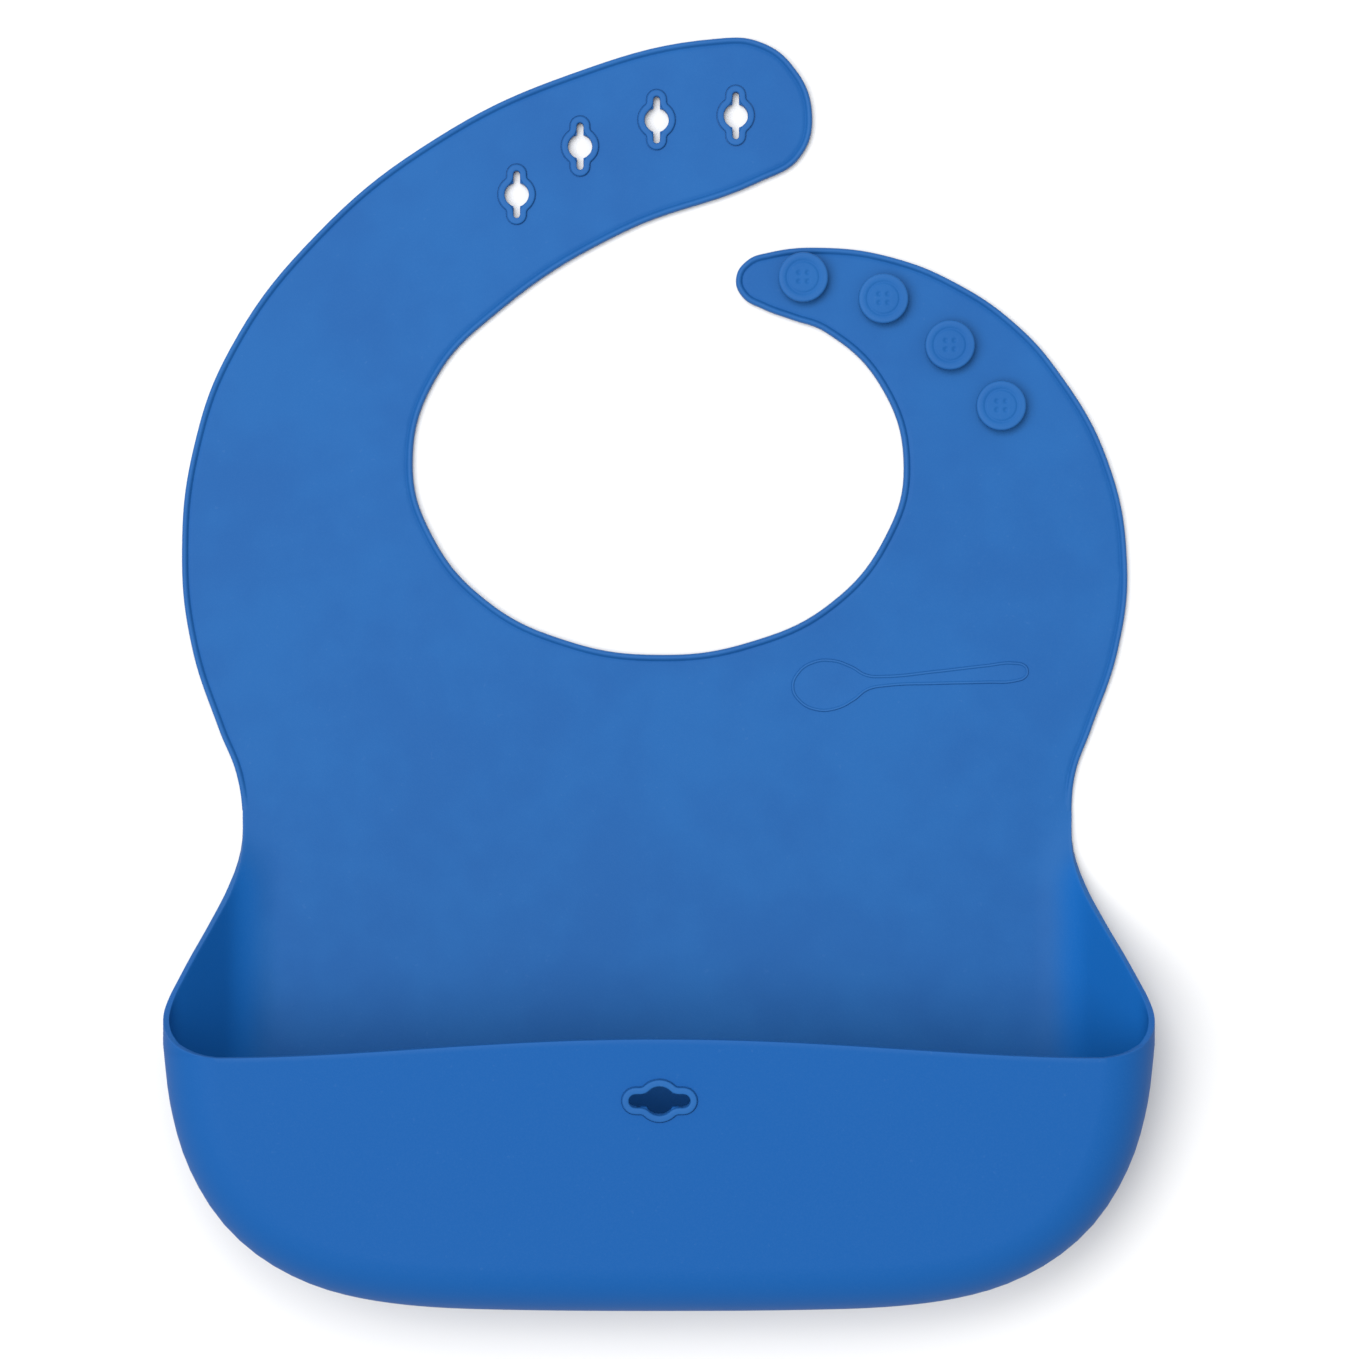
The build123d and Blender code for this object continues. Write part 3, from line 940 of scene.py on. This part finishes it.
def keyhole_surround(sizes, width, height):
    """A raised rim round a keyhole, with rounded edges, standing on z = 0."""
    bm = bmesh.new()
    edge = bm.verts.layers.float.new("edge")
    keyhole_ring(bm, sizes, width)
    filled(bm)
    softened = [v for v in bm.verts if v.calc_edge_angle(0.0) > RIM_CORNER]
    bmesh.ops.bevel(bm, geom=softened, offset=RIM_SOFT * width, segments=4, profile=0.5, affect="VERTICES",
                    clamp_overlap=True, material=-1)
    face = bm.faces[:][0]
    step_in(bm, face, width, 0.0)
    bmesh.ops.delete(bm, geom=[face], context="FACES_ONLY")
    made = bmesh.ops.extrude_face_region(bm, geom=bm.faces[:], use_keep_orig=True)["geom"]
    bmesh.ops.translate(bm, verts=[g for g in made if isinstance(g, bmesh.types.BMVert)], vec=(0, 0, height))
    bmesh.ops.recalc_face_normals(bm, faces=bm.faces[:])
    sharp = [e for e in sharp_edges(bm) if abs(e.verts[0].co.z - e.verts[1].co.z) < TINY]
    # Its rounded edges are painted paler: rubbed wear and painted highlight
    for vert in round_edges(bm, sharp, RIM_ROUND * width):
        vert[edge] = RIM_PALE
    return bm


def build_keyholes(scene):
    fastening = scene.bib_fastening
    thickness = scene.bib_sheet.thickness
    for number, place in enumerate(strap_places(scene), 1):
        bm = keyhole_surround(strap_keyhole(scene), fastening.surround, thickness + fastening.surround_rise)
        bm.transform(place)
        piece = new_piece(f"keyhole_rim_{number}", bm, shared_silicone(scene),
                          (f"keyhole_surround_{number}",))
        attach(piece, "slotted_strap_end")
    height = thickness + POCKET_RIM_RISE * fastening.surround_rise
    bm = keyhole_surround(pocket_keyhole(scene), fastening.surround, height)
    bm.transform(pocket_place(scene))
    piece = new_piece("pocket_keyhole_rim", bm, shared_silicone(scene), ("pocket_keyhole_surround",))
    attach(piece, "pocket_front")


def button_section(radius, low, high):
    """The section from the middle of the top down to the foot, as (distance out, height), in millimetres."""
    under = low + NECK_HEIGHT
    fall, reach = HEAD_BULGE
    points = [(out, high - fall * (out / reach) ** 2) for out in (0.0, *steps(*HEAD_CELLS))]
    points += [(out, high + up) for out, up in HEAD_RING]
    for turn in steps(pi / 2, 0.0, -pi / 12):
        points.append((radius - HEAD_ROUND + HEAD_ROUND * cos(turn),
                       high - HEAD_EDGE_DROP - HEAD_ROUND + HEAD_ROUND * sin(turn)))
    for turn in steps(0.0, -pi / 2, -pi / 8):
        points.append((radius - HEAD_UNDER_ROUND + HEAD_UNDER_ROUND * cos(turn),
                       under + HEAD_UNDER_ROUND + HEAD_UNDER_ROUND * sin(turn)))
    points += [(NECK_RADIUS + out, under + up) for out, up in NECK_END]
    points += [(NECK_RADIUS + out, low + up) for out, up in FOOT_END]
    return points


def dimple_depth(place):
    """How deep the four dimples are at a place on the head, in millimetres."""
    depth = 0.0
    for quarter in range(4):
        turn = pi / 4 + quarter * pi / 2
        away = (place - at(DIMPLE_AT * cos(turn), DIMPLE_AT * sin(turn))).xy.length / MM
        depth += DIMPLE_DEPTH * (1 - smooth(away / DIMPLE_RADIUS))
    return depth


def build_buttons(scene):
    """Flat round heads on short necks, each with a fine ring and four shallow dimples on top."""
    thickness = scene.bib_sheet.thickness
    for number in BUTTONS:
        node = f"button_{number}"
        low, high = (Vector(corner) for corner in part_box(node))
        middle = (low + high) / 2
        bm = bmesh.new()
        section = button_section((high.x - low.x) / 2 / MM, thickness / MM, high.z / MM)
        verts = [bm.verts.new(at(out, 0, up)) for out, up in section]
        edges = [bm.edges.new(pair) for pair in pairwise(verts)]
        bmesh.ops.spin(bm, geom=verts + edges, cent=(0, 0, 0), axis=(0, 0, 1), angle=2 * pi,
                       steps=TURN_STEPS, use_merge=True, use_duplicate=False)
        bmesh.ops.remove_doubles(bm, verts=bm.verts[:], dist=MERGE)
        close_ends(bm)
        bmesh.ops.recalc_face_normals(bm, faces=bm.faces[:])
        # The head's outer edge is painted paler: rubbed wear and painted highlight
        edge = bm.verts.layers.float.new("edge")
        for vert in bm.verts:
            out = hypot(vert.co.x, vert.co.y) / MM
            vert[edge] = smooth((out - PALE_FROM) / PALE_OVER) * (vert.co.z > high.z - PALE_DEPTH * MM)
            if vert.co.z > high.z - TOP_DEPTH * MM:
                vert.co.z -= dimple_depth(vert.co) * MM
        bm.transform(Matrix.Translation((middle.x, middle.y, lift_at(middle.x, middle.y, scene))))
        piece = new_piece(f"button_stud_{number}", bm, shared_silicone(scene), (node,))
        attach(piece, "button_strap")


# The spoon's outline from the bowl's tip along one side to the handle's end, in millimetres
SPOON = [
    (0.0, 0.0), (1.6, 3.6), (5.4, 5.9), (10.2, 6.0), (14.6, 4.2), (18.0, 2.0), (22.0, 1.45), (34.0, 1.75),
    (46.0, 2.3), (52.6, 2.45), (55.4, 1.5), (56.0, 0.0),
]
SPOON_TURN = radians(4.0)
SPOON_DROP = 1.6               # the bowl's tip is this far below the middle of the spoon's box
SPOON_ROOT = 0.2               # the relief reaches this far into the sheet
# The raised line round the spoon, as steps inwards and shares of its rise
SPOON_LINE = [(0.10, 0.6), (0.15, 0.4), (0.25, 0.0), (0.15, -0.4), (0.12, -0.35), (0.3, 0.0)]


def build_spoon(scene):
    """A spoon in low relief: a fine raised line round a barely raised field."""
    low, high = (Vector(corner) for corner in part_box("chest_spoon"))
    rise = scene.bib_fastening.spoon_rise
    bm = smooth_loop(SPOON + [(x, -y) for x, y in reversed(SPOON[1:-1])])
    sheet_top = scene.bib_sheet.thickness
    top, _ = plate(bm, sheet_top - SPOON_ROOT * MM, sheet_top)
    for inward, up in SPOON_LINE:
        step_in(bm, top, inward * MM, up * rise)
    tip = Vector((low.x, (low.y + high.y) / 2 - SPOON_DROP * MM, 0))
    bm.transform(Matrix.Translation(tip) @ Matrix.Rotation(SPOON_TURN, 4, "Z"))
    slice_across(bm, (1, 0, 0), steps(low.x, high.x, scene.bib_sheet.cell))
    # Its raised parts are painted paler with the edge mark: rubbed wear and painted highlight
    edge = bm.verts.layers.float.new("edge")
    for vert in bm.verts:
        vert[edge] = smooth((vert.co.z - sheet_top) / rise)
    settle(bm, scene)
    piece = new_piece("spoon_relief", bm, shared_silicone(scene), ("chest_spoon",))
    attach(piece, "chest")


# ---------------------------------------------------------------- stage


def aim(light, place):
    """Puts a light at a place, shining at the middle of the table."""
    light.location = place
    light.rotation_euler = (-Vector(place)).to_track_quat("-Z", "Y").to_euler()
    bpy.context.scene.collection.objects.link(light)


def build_stage(scene):
    settings = scene.bib_stage
    bm = bmesh.new()
    bmesh.ops.create_grid(bm, x_segments=8, y_segments=8, size=FLOOR_HALF)
    bmesh.ops.translate(bm, verts=bm.verts[:], vec=(0, 0, -FLOOR_GAP))
    floor = new_piece("floor", bm, floor_material(settings))

    key = bpy.data.lights.new("key_light", "SUN")
    key.energy = settings.key_strength
    key.angle = settings.key_softness
    aim(bpy.data.objects.new("key_light", key), KEY_FROM)
    soft = bpy.data.lights.new("soft_box", "AREA")
    soft.shape = "DISK"
    soft.size = SOFT_BOX_SIZE
    soft.energy = settings.box_power
    aim(bpy.data.objects.new("soft_box", soft), SOFT_BOX_AT)
    world = bpy.data.worlds.new("soft_room")
    world.use_nodes = True
    glow = world.node_tree.nodes["Background"]
    glow.inputs["Color"].default_value = (1.0, 1.0, 1.0, 1.0)
    glow.inputs["Strength"].default_value = settings.fill_strength
    scene.world = world
    scene.view_settings.view_transform = "Standard"

    camera = bpy.data.cameras.new("camera")
    camera.sensor_width = 36.0
    camera.lens = camera.sensor_width * settings.camera_height / settings.view_width
    holder = bpy.data.objects.new("camera", camera)
    holder.location = (CAMERA_X, VIEW_CENTRE[1], settings.camera_height)
    camera.shift_x = (VIEW_CENTRE[0] - CAMERA_X) / settings.view_width
    scene.collection.objects.link(holder)
    scene.camera = holder


# ---------------------------------------------------------------- add-on


class BIB_OT_sheet(bpy.types.Operator):
    """Build the chest and both straps, with their edge bead"""
    bl_idname = "bib.sheet"
    bl_label = "Chest and Straps"

    def execute(self, context):
        base = whole_sheet(context.scene)
        build_chest(context.scene, base)
        build_slotted_lower(context.scene, base)
        build_slotted_upper(context.scene, base)
        build_button_strap(context.scene, base)
        base.free()
        return {"FINISHED"}


class BIB_OT_pocket(bpy.types.Operator):
    """Build the catch pocket"""
    bl_idname = "bib.pocket"
    bl_label = "Pocket"

    def execute(self, context):
        build_pocket(context.scene)
        return {"FINISHED"}


class BIB_OT_keyholes(bpy.types.Operator):
    """Build the raised rims of the keyholes"""
    bl_idname = "bib.keyholes"
    bl_label = "Keyholes"

    def execute(self, context):
        build_keyholes(context.scene)
        return {"FINISHED"}


class BIB_OT_buttons(bpy.types.Operator):
    """Build the four buttons"""
    bl_idname = "bib.buttons"
    bl_label = "Buttons"

    def execute(self, context):
        build_buttons(context.scene)
        return {"FINISHED"}


class BIB_OT_spoon(bpy.types.Operator):
    """Build the spoon in relief on the chest"""
    bl_idname = "bib.spoon"
    bl_label = "Spoon"

    def execute(self, context):
        build_spoon(context.scene)
        return {"FINISHED"}


class BIB_OT_stage(bpy.types.Operator):
    """Build the floor, the light and the camera"""
    bl_idname = "bib.stage"
    bl_label = "Stage"

    def execute(self, context):
        build_stage(context.scene)
        return {"FINISHED"}


OPERATORS = (BIB_OT_stage, BIB_OT_sheet, BIB_OT_pocket, BIB_OT_keyholes, BIB_OT_buttons, BIB_OT_spoon)


class BIB_PT_panel(bpy.types.Panel):
    """Builds the bib piece by piece"""
    bl_idname = "BIB_PT_panel"
    bl_label = "Silicone Bib"
    bl_space_type = "VIEW_3D"
    bl_region_type = "UI"
    bl_category = "Bib"

    def draw(self, context):
        for group in ("bib_sheet", "bib_pocket", "bib_fastening", "bib_stage"):
            box = self.layout.box()
            settings = getattr(context.scene, group)
            for name in settings.__annotations__:
                box.prop(settings, name)
        for operator in OPERATORS:
            self.layout.operator(operator.bl_idname)


GROUPS = {"bib_sheet": BibSheetSettings, "bib_pocket": BibPocketSettings,
          "bib_fastening": BibFasteningSettings, "bib_stage": BibStageSettings}
CLASSES = (*GROUPS.values(), *OPERATORS, BIB_PT_panel)


def register():
    for cls in CLASSES:
        bpy.utils.register_class(cls)
    for name, group in GROUPS.items():
        setattr(bpy.types.Scene, name, bpy.props.PointerProperty(type=group))


def unregister():
    for name in GROUPS:
        delattr(bpy.types.Scene, name)
    for cls in reversed(CLASSES):
        bpy.utils.unregister_class(cls)


def main():
    register()
    for operator in OPERATORS:
        group, name = operator.bl_idname.split(".")
        getattr(getattr(bpy.ops, group), name)()


if __name__ == "__main__":
    main()
